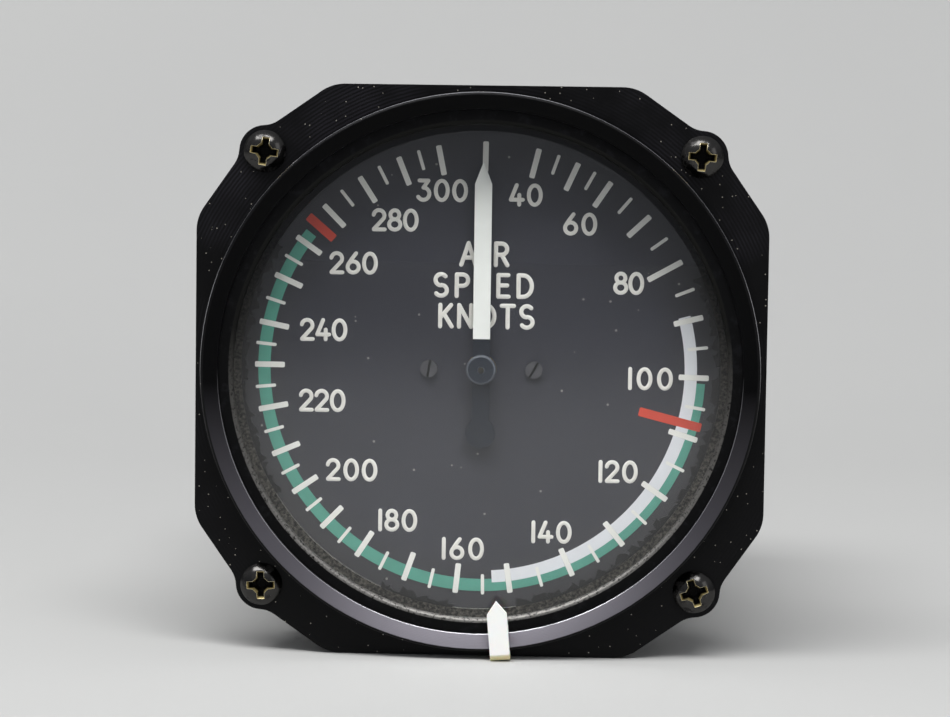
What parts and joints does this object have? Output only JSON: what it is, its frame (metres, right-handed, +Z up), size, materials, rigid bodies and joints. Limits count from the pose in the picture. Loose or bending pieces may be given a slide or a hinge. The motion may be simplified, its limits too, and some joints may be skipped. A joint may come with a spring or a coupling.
{
  "type": "airspeed indicator",
  "caption": "Round-dial airspeed indicator in a square flanged case, with capsule movement, sweeping pointer, coloured speed arcs and a sliding speed bug on the bezel ring.",
  "frame": {"origin": "on the dial axis, in the plane of the flange's rear face that seats on the panel", "axes": "+Z up on the dial, +Y rearward into the panel, dial facing -Y"},
  "size_m": [0.0826, 0.0756, 0.0828],
  "materials": {
    "anodised_aluminium": "black anodised, finely turned",
    "clear_glass": "polished",
    "seal_rubber": "matt, aged",
    "black_spring_steel": "black oxide",
    "blackened_brass": "black, worn bright at the recesses",
    "dial_paint": "matt black paint",
    "cream_print": "matt paint",
    "green_print": "matt paint",
    "white_print": "matt paint",
    "red_print": "matt paint",
    "black_steel": "black oxide",
    "movement_brass": "fine brushed",
    "screw_steel": "turned",
    "bronze": "pressed bronze",
    "spring_steel": "blued",
    "pointer_black": "matt black paint",
    "pointer_white": "matt white paint",
    "white_plastic": "smooth moulded"
  },
  "bodies": {
    "case": {"case_shell": "anodised_aluminium", "glass": "clear_glass", "glass_gasket": "seal_rubber", "retaining_ring": "black_spring_steel", "panel_screws": "blackened_brass", "rear_cover": "anodised_aluminium", "cover_seal": "seal_rubber", "cover_screws": "blackened_brass", "dial": "dial_paint", "scale_marks": "cream_print", "green_arc": "green_print", "white_arc": "white_print", "red_marks": "red_print", "dial_stud": "dial_paint", "dial_screws": "black_steel", "dial_spacers": "movement_brass", "front_plate": "movement_brass", "rear_plate": "movement_brass", "plate_pillars": "movement_brass", "plate_screws": "screw_steel", "frame_posts": "movement_brass", "post_screws": "screw_steel", "staff_bushes": "bronze", "hairspring": "spring_steel", "hairspring_stud": "movement_brass", "capsule": "bronze", "capsule_stem": "movement_brass", "shaft_brackets": "movement_brass", "bracket_screws": "screw_steel"},
    "hand": {"pointer": "pointer_black", "pointer_paint": "pointer_white", "pointer_hub": "black_steel", "hand_staff": "screw_steel", "hairspring_collet": "movement_brass"},
    "sector": {"sector_gear": "movement_brass", "sector_staff": "screw_steel"},
    "rocker": {"rocking_shaft": "screw_steel", "lift_lever": "movement_brass", "drive_arm": "movement_brass"},
    "lifter": {"lift_post": "movement_brass"},
    "bug": {"speed_bug": "white_plastic"}
  },
  "joints": [
    {"name": "sector_swing", "type": "hinge", "parent": "case", "child": "sector", "pos_m": [-0.01677, 0, -0.005], "axis": [0, -1, 0], "range_deg": [0, 38.66], "stiffness_Nm_per_rad": 0.08},
    {"name": "pointer_turn", "type": "hinge", "parent": "case", "child": "hand", "pos_m": [0, 0, 0], "axis": [0, 1, 0], "range_deg": [0, 348], "deforming": ["hairspring"]},
    {"name": "shaft_rock", "type": "hinge", "parent": "case", "child": "rocker", "pos_m": [0, 0.022, -0.005], "axis": [1, 0, 0], "range_deg": [0, 16.64]},
    {"name": "capsule_lift", "type": "slide", "parent": "case", "child": "lifter", "axis": [0, -1, 0], "range_m": [0, 0.00145], "deforming": ["capsule"]},
    {"name": "bug_slide", "type": "hinge", "parent": "case", "child": "bug", "pos_m": [0, 0, 0], "axis": [0, 1, 0], "continuous": true}
  ],
  "couplings": [
    {"joint": "pointer_turn", "follows": "sector_swing", "ratio": 9},
    {"joint": "shaft_rock", "follows": "sector_swing", "ratio": 0.43019},
    {"joint": "capsule_lift", "follows": "sector_swing", "m_per_rad": 0.0021434}
  ]
}
